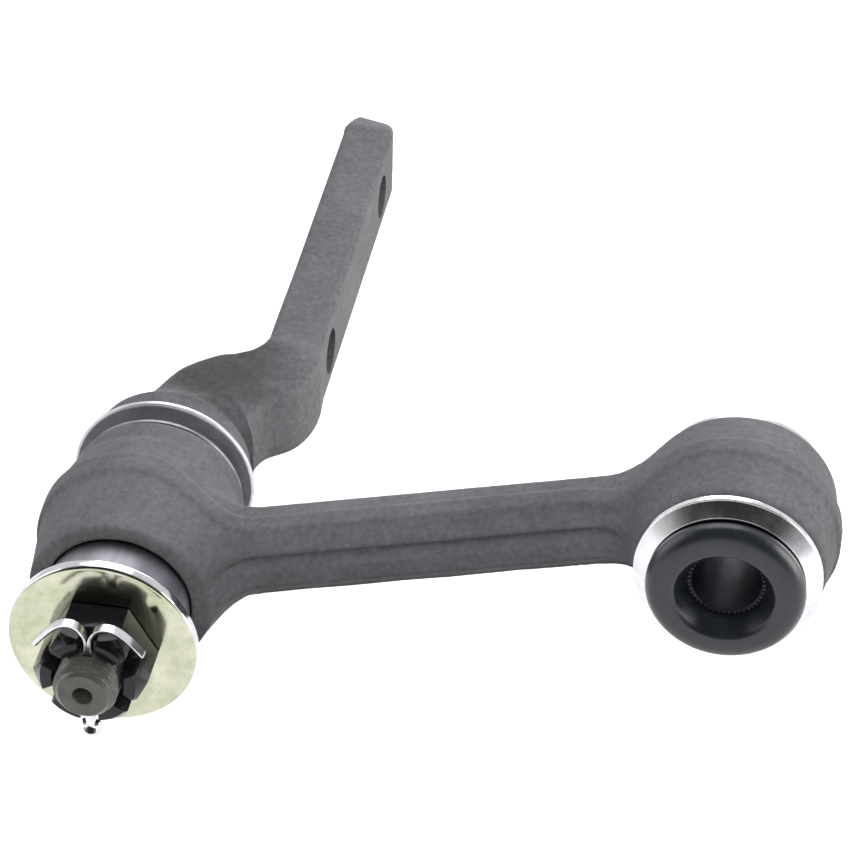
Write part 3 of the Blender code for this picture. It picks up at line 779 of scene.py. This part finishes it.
def make_stud(mat):
    """Spindle end with its rolled thread, chamfer and centre drilling."""
    depth = 0.00060
    root_y = WASHER_REAR - 0.0004
    steps = 96
    rows = [
        # radius, place along Y, share of the thread's depth
        (0.0093, SHOULDER_Y + 0.003, 0.0), (0.0093, WASHER_REAR + 0.0022, 0.0),
        (0.0092, WASHER_REAR + 0.0018, 0.0), (STUD_RADIUS, WASHER_REAR + 0.0012, 0.0),
    ]
    per_turn = 12
    length = root_y - (STUD_END + 0.0002)
    count = int(length / THREAD_PITCH * per_turn)
    for i in range(count + 1):
        y = root_y - length * i / count
        left = y - STUD_END
        chamfer = min(0.0, (left - 0.0019) * 0.92)
        rows.append((STUD_RADIUS + chamfer, y, float(ease((left - 0.0002) / 0.0016))))
    rim = STUD_RADIUS - 0.00165
    rows += [
        (rim - 0.0001, STUD_END + 0.00003, 0.0), (rim - 0.0008, STUD_END, 0.0),
        (0.0027, STUD_END, 0.0), (0.0023, STUD_END + 0.0001, 0.0),
        (0.0013, STUD_END + 0.0022, 0.0), (0.0012, STUD_END + 0.0065, 0.0),
    ]
    verts = []
    for r, y, cut in rows:
        for k, angle in enumerate(turns(steps)):
            phase = (y / THREAD_PITCH + k / steps) % 1.0
            groove = depth * (1.0 - abs(2.0 * phase - 1.0)) * cut
            verts.append(((r - groove) * math.cos(angle), y, (r - groove) * math.sin(angle)))
    mesh = bpy.data.meshes.new("threaded_stud")
    mesh.from_pydata(verts, [], quads(len(rows), steps) + lids(len(rows), steps))
    finish_mesh(mesh, 28.0)
    place_mesh(mesh, (PIVOT.x, 0.0, PIVOT.z))
    add_piece("threaded_stud", mesh, "bracket", mat, ("bracket",))


# Washers, shells and rubbers

def make_washers(zinc, cup):
    """The thick flat washer in front and the dished one behind."""
    inner = 0.00745
    outer = 0.02125
    flat = [
        (inner, WASHER_FRONT, 0.0003), (outer, WASHER_FRONT, 0.0009),
        (outer, WASHER_REAR, 0.0006), (inner, WASHER_REAR, 0.0003),
    ]
    mesh = place_mesh(turned("flat_washer", flat), (PIVOT.x, 0.0, PIVOT.z))
    add_piece("flat_washer", mesh, "bracket", zinc, ("front_washer",))
    inner = 0.0096
    outer = 0.0212
    front = CUP_BACK - 0.0018
    dished = [
        (inner, front, 0.0003), (outer - 0.0046, front, 0.0020),
        (outer - 0.0012, CUP_RIM + 0.0004, 0.0009), (outer - 0.0005, CUP_RIM, 0.0004),
        (outer, CUP_RIM + 0.0004, 0.0005), (outer, CUP_RIM + 0.0015, 0.0006),
        (outer - 0.0032, CUP_BACK, 0.0020), (inner, CUP_BACK, 0.0003),
    ]
    mesh = place_mesh(turned("dished_washer", dished), (PIVOT.x, 0.0, PIVOT.z))
    add_piece("dished_washer", mesh, "bracket", cup, ("rear_cup_washer",))


def make_pivot_bushes(drawn, rubber, lit_rubber):
    """Shells and rubbers of the two bushes in the barrel."""
    place = (PIVOT.x, BARREL_Y, PIVOT.z)
    outer = 0.0162
    inner = outer - 0.0014
    front, rear = in_barrel("front_bush_shell")
    shell = [
        (inner, rear), (outer, rear), (outer, front, 0.0013), (inner - 0.0016, front, 0.0003),
        (inner - 0.0016, front + 0.0013, 0.0003), (inner, front + 0.0017, 0.0006),
    ]
    mesh = place_mesh(turned("front_shell", shell), place, SWING)
    add_piece("front_shell", mesh, "arm", drawn, ("front_bush_shell",))
    front, rear = in_barrel("front_bush_rubber")
    hug = 0.0118
    fill = [
        (hug, rear), (inner - 0.0003, rear, 0.0008), (inner - 0.0003, front + 0.0025, 0.0006),
        (inner - 0.0019, front + 0.0020, 0.0004), (inner - 0.0019, front, 0.0006),
        (hug, front, 0.0004),
    ]
    mesh = place_mesh(turned("front_rubber", fill), place, SWING)
    add_piece("front_rubber", mesh, "arm", rubber, ("front_bush_rubber",))
    front, rear = in_barrel("rear_bush_shell")
    seat = rear - 0.0011
    rear += 0.0002
    flange = 0.0193
    shell = [
        (inner, front), (outer, front), (outer, seat, 0.0002), (flange, seat, 0.0004),
        (flange, rear, 0.0004), (inner, rear, 0.0007),
    ]
    mesh = place_mesh(turned("rear_shell", shell), place, SWING)
    add_piece("rear_shell", mesh, "arm", drawn, ("rear_bush_shell",))
    front, back = in_barrel("rear_bush_rubber")
    bulge = 0.0163
    fill = [
        (hug, front), (inner - 0.0003, front, 0.0008), (inner - 0.0003, rear + 0.0002, 0.0003),
        (bulge - 0.0014, rear + 0.0002, 0.0010), (bulge, rear + 0.0018, 0.0012),
        (bulge, back - 0.0016, 0.0012), (bulge - 0.0014, back, 0.0010), (hug, back, 0.0004),
    ]
    mesh = place_mesh(turned("rear_rubber", fill), place, SWING)
    # The rear rubber is a paler copy of the moulded rubber: painted light that lifts the shaded
    # gap behind the dished washer
    add_piece("rear_rubber", mesh, "arm", lit_rubber, ("rear_bush_rubber",))


def make_link_bush(clear, rubber, sleeve_steel):
    """Shells, rubbers and inner sleeve of the link eye."""
    place = (LINK.x, LINK.y, LINK.z)
    outer = 0.0153
    inner = outer - 0.0014
    seat = 0.0140
    tip = seat + 0.0022
    hug = 0.0097
    mouth = 0.0111
    sizes = (
        # side, name, flange's rim, rubber's bulge and face, sleeve's end
        (-1.0, "front", 0.0200, 0.0169, 0.0239, 0.0187),
        (1.0, "rear", 0.0189, 0.0157, 0.0209, 0.0179),
    )
    for side, where, rim, bulge, face, end in sizes:
        shell = [
            (inner, 0.0006), (outer, 0.0006), (outer, seat, 0.0003), (rim - 0.0006, seat, 0.0005),
            (rim, seat + 0.0006, 0.0004), (rim, tip - 0.0001, 0.0002), (rim - 0.0003, tip, 0.0002),
            (rim - 0.0034, tip + 0.0024, 0.0004), (rim - 0.0040, tip + 0.0018, 0.0003),
            (inner, tip + 0.0018, 0.0003),
        ]
        shell = [(p[0], side * p[1], *p[2:]) for p in shell]
        mesh = place_mesh(turned("link_shell_" + where, shell), place, SWING)
        node = "link_" + where + "_shell"
        add_piece("link_shell_" + where, mesh, "arm", clear, (node,))
        neck = bulge - 0.0010
        fill = [
            (hug, 0.0010), (inner - 0.0003, 0.0010), (inner - 0.0003, tip + 0.0020, 0.0004),
            (neck, tip + 0.0020, 0.0004), (neck, face - 0.0050, 0.0006),
            (bulge, face - 0.0042, 0.0010), (bulge, face - 0.0022, 0.0014),
            (bulge - 0.0012, face - 0.0006, 0.0012), (bulge - 0.0030, face, 0.0012),
            (mouth, face, 0.0004), (mouth - 0.0006, face - 0.0005, 0.0004),
            (0.0084, end + 0.0012, 0.0006), (0.0082, end + 0.0003, 0.0002),
            (hug, end + 0.0003, 0.0002),
        ]
        fill = [(p[0], side * p[1], *p[2:]) for p in fill]
        mesh = place_mesh(turned("link_rubber_" + where, fill), place, SWING)
        node = "link_" + where + "_rubber"
        add_piece("link_rubber_" + where, mesh, "arm", rubber, (node,))

    teeth = 46
    front = -sizes[0][5]
    rear = sizes[1][5]

    def serrations(radius, along, angle):
        """Radial teeth pressed into both ends of the sleeve."""
        if front + 0.0002 < along < rear - 0.0002 or radius < 0.0077:
            return 0.0
        wave = 0.5 + 0.5 * math.cos(teeth * angle)
        return -math.copysign(0.00040 * wave ** 2, along)

    sleeve = [
        (0.0073, front + 0.0004, 0.0001), (0.0077, front, 0.0001), (0.0086, front, 0.0001),
        (0.0094, front, 0.0001), (0.0094, rear, 0.0001), (0.0086, rear, 0.0001),
        (0.0077, rear, 0.0001), (0.0073, rear - 0.0004, 0.0001),
    ]
    mesh = turned("link_sleeve", sleeve, 0.0002, 352, serrations)
    place_mesh(mesh, place, SWING)
    add_piece("link_sleeve", mesh, "link_sleeve", sleeve_steel,
              ("link_inner_sleeve",))


# Nut and split pin

def make_nut(mat):
    """Slotted nut with chamfered corners and softened edges."""
    height = NUT_REAR - NUT_FRONT
    flat = NUT_FLAT
    corner = flat / math.cos(math.radians(30.0))
    base = bmesh.new()
    rings = []
    for y in (0.0, -height):
        ring = []
        for k in range(6):
            angle = math.radians(60.0 * k)
            ring.append(base.verts.new((corner * math.cos(angle), y, corner * math.sin(angle))))
        rings.append(ring)
    base.faces.new(rings[0])
    base.faces.new(rings[1])
    for k in range(6):
        n = (k + 1) % 6
        base.faces.new((rings[0][k], rings[0][n], rings[1][n], rings[1][k]))
    mesh = bpy.data.meshes.new("nut_body")
    base.to_mesh(mesh)
    base.free()
    obj = new_object("nut_work", finish_mesh(mesh))
    over = 0.001
    chamfer = [
        (flat + 0.0012, over), (corner + 0.0006, -0.0012), (corner + 0.0006, -height + 0.0034),
        (flat - 0.0004, -height + 0.0002), (flat - 0.0009, -height - over),
    ]
    helpers = [cut_by(obj, capped("nut_chamfer", chamfer), "INTERSECT")]
    bore = [
        (0.0077, over), (0.00744, -0.0010), (0.00744, -height + 0.0008),
        (0.0082, -height - 0.0001), (0.0082, -height - over),
    ]
    helpers.append(cut_by(obj, capped("nut_bore", bore)))
    for k in range(3):
        slot = bmesh.new()
        bmesh.ops.create_cube(slot, size=1.0)
        bmesh.ops.scale(slot, vec=(0.034, 0.0112, 0.0042), verts=slot.verts)
        edges = [e for e in slot.edges if abs(e.verts[0].co.x - e.verts[1].co.x) > 0.01
                 and e.verts[0].co.y > 0.0]
        bmesh.ops.bevel(slot, geom=edges, offset=0.0013, segments=5, affect="EDGES", profile=0.5)
        bmesh.ops.rotate(slot, cent=(0, 0, 0), verts=slot.verts,
                         matrix=Matrix.Rotation(-math.radians(30.0 + 60.0 * k), 3, "Y"))
        bmesh.ops.translate(slot, vec=(0.0, -height, 0.0), verts=slot.verts)
        cut = bpy.data.meshes.new("nut_slot")
        slot.to_mesh(cut)
        slot.free()
        helpers.append(cut_by(obj, cut))
    soften = obj.modifiers.new("soften", "BEVEL")
    soften.width = 0.00022
    soften.segments = 2
    soften.limit_method = "ANGLE"
    soften.angle_limit = math.radians(35.0)
    fine = settle(obj, "slotted_nut", helpers)
    fine.shade_smooth()
    fine.set_sharp_from_angle(angle=math.radians(34.0))
    place_mesh(fine, (PIVOT.x, NUT_REAR, PIVOT.z))
    add_piece("slotted_nut", fine, "bracket", mat, ("castle_nut",))


def curve_through(points, per=8):
    """Dense smooth path through points, as (sideways, up)."""
    path = []
    pts = [Vector(p) for p in points]
    for i in range(len(pts) - 1):
        p0 = pts[max(i - 1, 0)]
        p1 = pts[i]
        p2 = pts[i + 1]
        p3 = pts[min(i + 2, len(pts) - 1)]
        for k in range(per):
            t = k / per
            a = 2.0 * p1
            b = (p2 - p0) * t
            c = (2.0 * p0 - 5.0 * p1 + 4.0 * p2 - p3) * t * t
            d = (3.0 * p1 - p0 - 3.0 * p2 + p3) * t * t * t
            path.append((a + b + c + d) * 0.5)
    path.append(pts[-1])
    return path


def make_pin(mat):
    """Split pin of half round wire: eye below, legs bent over the nut."""
    flat = NUT_FLAT
    radius = 0.00128
    lean = radius / 2.0 + 0.00005
    left_leg = [
        (-1.072, 0.694), (-0.955, 0.847), (-0.775, 1.054), (-0.577, 1.222),
        (-0.396, 1.278), (-0.234, 1.235), (-0.126, 1.100),
    ]
    right_leg = [
        (0.126, 1.106), (0.243, 1.232), (0.414, 1.264), (0.595, 1.204),
        (0.793, 1.045), (0.955, 0.874), (1.099, 0.712),
    ]
    left = [(x * flat, z * flat) for x, z in left_leg] + [(-lean, 0.90 * flat)]
    right = [(lean, 0.90 * flat)] + [(x * flat, z * flat) for x, z in right_leg]
    ring = 0.0020
    centre = -flat * 1.235
    eye = []
    for k in range(9):
        angle = math.radians(140.0 + 260.0 * k / 8.0)
        eye.append((ring * math.cos(angle), centre + ring * math.sin(angle)))
    middle_left = [(-lean, 0.004), (-lean, -0.004), (-lean, -flat * 1.07)]
    middle_right = [(lean, -flat * 1.07), (lean, -0.004), (lean, 0.004)]
    path = curve_through(left + middle_left + eye + middle_right + right)
    verts = []
    ring_size = 18
    for i, point in enumerate(path):
        before = path[max(i - 1, 0)]
        after = path[min(i + 1, len(path) - 1)]
        tangent = (after - before).normalized()
        side = Vector((tangent.y, -tangent.x))
        ends = min(i, len(path) - 1 - i)
        scale = (0.55, 0.86, 1.0)[min(ends, 2)]
        for k in range(ring_size):
            if k < 12:
                angle = math.radians(-90.0 + 180.0 * k / 11.0)
                out = radius * math.cos(angle) * 0.96 - radius * 0.5
                deep = radius * 0.92 * math.sin(angle)
            else:
                out = -radius * 0.5
                deep = radius * 0.92 * (1.0 - 2.0 * (k - 11) / 7.0)
            verts.append((point.x + side.x * out * scale, deep * scale,
                          point.y + side.y * out * scale))
    mesh = bpy.data.meshes.new("split_pin")
    mesh.from_pydata(verts, [], quads(len(path), ring_size) + lids(len(path), ring_size))
    finish_mesh(mesh, 50.0)
    place_mesh(mesh, (PIVOT.x, PIN_Y, PIVOT.z))
    add_piece("split_pin", mesh, "bracket", mat, ("cotter_pin",))


# Studio

def make_floor():
    """A wide pale floor below the part, white to the camera but for the shadow."""
    mesh = bpy.data.meshes.new("studio_floor")
    far = 6.0
    z = CAD_BOX[0][2] - FLOOR_DROP
    corners = [(-far, -far, z), (far, -far, z), (far, far, z), (-far, far, z)]
    mesh.from_pydata(corners, [], [(0, 1, 2, 3)])
    floor = new_object("studio_floor", mesh)
    mat = bpy.data.materials.new("pale_floor")
    mat.use_nodes = True
    tree = mat.node_tree
    shader = tree.nodes["Principled BSDF"]
    path = tree.nodes.new("ShaderNodeLightPath")
    tone = mix_colour(tree, path.outputs["Is Diffuse Ray"], (0.9, 0.9, 0.9), (0.12, 0.12, 0.115))
    tree.links.new(tone, shader.inputs["Base Color"])
    set_input(shader, "Roughness", 0.9)
    set_input(shader, "Specular IOR Level", 0.0)
    lift = tree.nodes.new("ShaderNodeMath")
    lift.operation = "MULTIPLY"
    lift.inputs[1].default_value = 0.45
    seen = tree.nodes.new("ShaderNodeMath")
    seen.operation = "MAXIMUM"
    tree.links.new(path.outputs["Is Camera Ray"], seen.inputs[0])
    tree.links.new(path.outputs["Is Glossy Ray"], seen.inputs[1])
    tree.links.new(seen.outputs[0], lift.inputs[0])
    set_input(shader, "Emission Color", (1.0, 1.0, 1.0, 1.0))
    tree.links.new(lift.outputs[0], shader.inputs["Emission Strength"])
    mesh.materials.append(mat)


def add_panel(name, place, size, energy, colour):
    """A square soft light aimed at the part."""
    data = bpy.data.lights.new(name, "AREA")
    data.energy = energy
    data.size = size
    data.color = colour
    lamp = new_object(name, data)
    lamp.location = place
    aim = Vector((0.02, -0.06, 0.0)) - lamp.location
    lamp.rotation_euler = aim.to_track_quat("-Z", "Y").to_euler()
    return lamp


def make_lights():
    """Soft panels round the part; its metals mirror a pale room, dark in front and above."""
    warm = (1.0, 1.0, 0.97)
    cool = (0.98, 0.98, 1.0)
    add_panel("back_top", (-0.15, 0.75, 1.15), 1.1, 8.4, cool)
    add_panel("back_low", (0.0, 1.4, 0.35), 0.9, 11.0, cool)
    add_panel("right", (1.15, 0.05, 0.30), 0.8, 10.5, warm)
    add_panel("left", (-1.2, 0.0, 0.4), 0.9, 3.9, cool)
    add_panel("front_low", (0.0, -1.3, 0.05), 0.9, 1.9, warm)
    add_panel("front_top", (0.10, -0.95, 0.95), 1.0, 10.5, cool).visible_glossy = False
    world = bpy.data.worlds.new("studio")
    bpy.context.scene.world = world
    world.use_nodes = True
    tree = world.node_tree
    tree.nodes.clear()
    path = tree.nodes.new("ShaderNodeLightPath")
    coords = tree.nodes.new("ShaderNodeTexCoord")
    lean = tree.nodes.new("ShaderNodeVectorMath")
    lean.operation = "DOT_PRODUCT"
    lean.inputs[1].default_value = (0.0, -0.60, 0.80)
    tree.links.new(coords.outputs["Generated"], lean.inputs[0])
    seen = ramp(tree, lean.outputs["Value"], [
        (0.0, grey(0.92)), (0.30, grey(0.80)), (0.66, grey(0.06)), (1.0, grey(0.03))])
    mirrored = tree.nodes.new("ShaderNodeBackground")
    tree.links.new(seen, mirrored.inputs["Color"])
    soft = tree.nodes.new("ShaderNodeBackground")
    soft.inputs["Color"].default_value = (0.11, 0.11, 0.115, 1.0)
    white = tree.nodes.new("ShaderNodeBackground")
    white.inputs["Color"].default_value = (1.0, 1.0, 1.0, 1.0)
    glossy = tree.nodes.new("ShaderNodeMixShader")
    tree.links.new(path.outputs["Is Glossy Ray"], glossy.inputs[0])
    tree.links.new(soft.outputs[0], glossy.inputs[1])
    tree.links.new(mirrored.outputs[0], glossy.inputs[2])
    mix = tree.nodes.new("ShaderNodeMixShader")
    tree.links.new(path.outputs["Is Camera Ray"], mix.inputs[0])
    tree.links.new(glossy.outputs[0], mix.inputs[1])
    tree.links.new(white.outputs[0], mix.inputs[2])
    output = tree.nodes.new("ShaderNodeOutputWorld")
    tree.links.new(mix.outputs[0], output.inputs["Surface"])


def make_camera():
    """The photograph's view: from the nut end, above and a little to the right.

    The lens and the place are fitted to the circles in the photograph.
    """
    data = bpy.data.cameras.new("camera")
    data.lens = 160.9
    data.sensor_width = 36.0
    data.clip_start = 0.05
    camera = new_object("camera", data)
    camera.location = (0.13813, -0.77221, 0.52746)
    forward = Vector((-0.12408, 0.79728, -0.59072))
    level = forward.to_track_quat("-Z", "Y")
    camera.rotation_mode = "QUATERNION"
    camera.rotation_quaternion = level @ Quaternion((0.0, 0.0, 1.0), math.radians(1.36))
    bpy.context.scene.camera = camera


def main():
    """Builds the dressed part and its studio."""
    forged = forged_material("forged_steel_fine")
    # The bracket's forging: a dark patch round the neck, partly patina and partly painted shade,
    # and painted light on faces towards +X
    neck = (PIVOT.x + 0.010, SHOULDER_Y + 0.021, PIVOT.z + 0.016)
    neck_shaded = forged_material("forged_steel_shade_and_patina", (neck, 0.018))
    # The last colour is the washer rim's painted highlight tint
    zinc = plated_material("yellow_zinc_plate", [
        (0.40, 0.42, 0.27), (0.52, 0.53, 0.40), (0.63, 0.61, 0.50)], 0.08, (0.62, 0.62, 0.66))
    clear = plated_material("clear_zinc_plate", [
        (0.60, 0.62, 0.64), (0.72, 0.72, 0.75), (0.82, 0.82, 0.83)], 0.14)
    cup = plated_material("dull_zinc_plate", [
        (0.50, 0.49, 0.54), (0.62, 0.61, 0.66), (0.74, 0.73, 0.77)], 0.30)
    set_input(cup.node_tree.nodes["Principled BSDF"], "Metallic", 0.55)
    drawn = drawn_steel_material("drawn_steel")
    oxide = dark_steel_material("black_oxide_gloss", (0.004, 0.004, 0.005), 0.0, 0.12, 0.30)
    turned_dark = dark_steel_material("turned_dark_steel", (0.095, 0.092, 0.082), 0.45, 0.26)
    sleeve_steel = dark_steel_material("sleeve_steel", (0.040, 0.043, 0.052), 0.75, 0.30)
    rubber = rubber_material("moulded_rubber", (0.006, 0.008, 0.012), (0.017, 0.020, 0.026))
    # Paler copy of the moulded rubber: painted light for the shaded gap behind the dished washer
    lit_rubber = rubber_material("rubber_painted_light", (0.055, 0.055, 0.066), (0.100, 0.100, 0.115))
    make_arm(forged)
    make_bracket(neck_shaded)
    make_stud(turned_dark)
    make_washers(zinc, cup)
    make_pivot_bushes(drawn, rubber, lit_rubber)
    make_link_bush(clear, rubber, sleeve_steel)
    make_nut(oxide)
    make_pin(clear)
    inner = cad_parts["pivot_inner_sleeve"]
    inner.data.materials.clear()
    inner.data.materials.append(drawn)
    make_floor()
    make_lights()
    make_camera()
    bpy.context.scene.view_settings.view_transform = "Standard"


main()
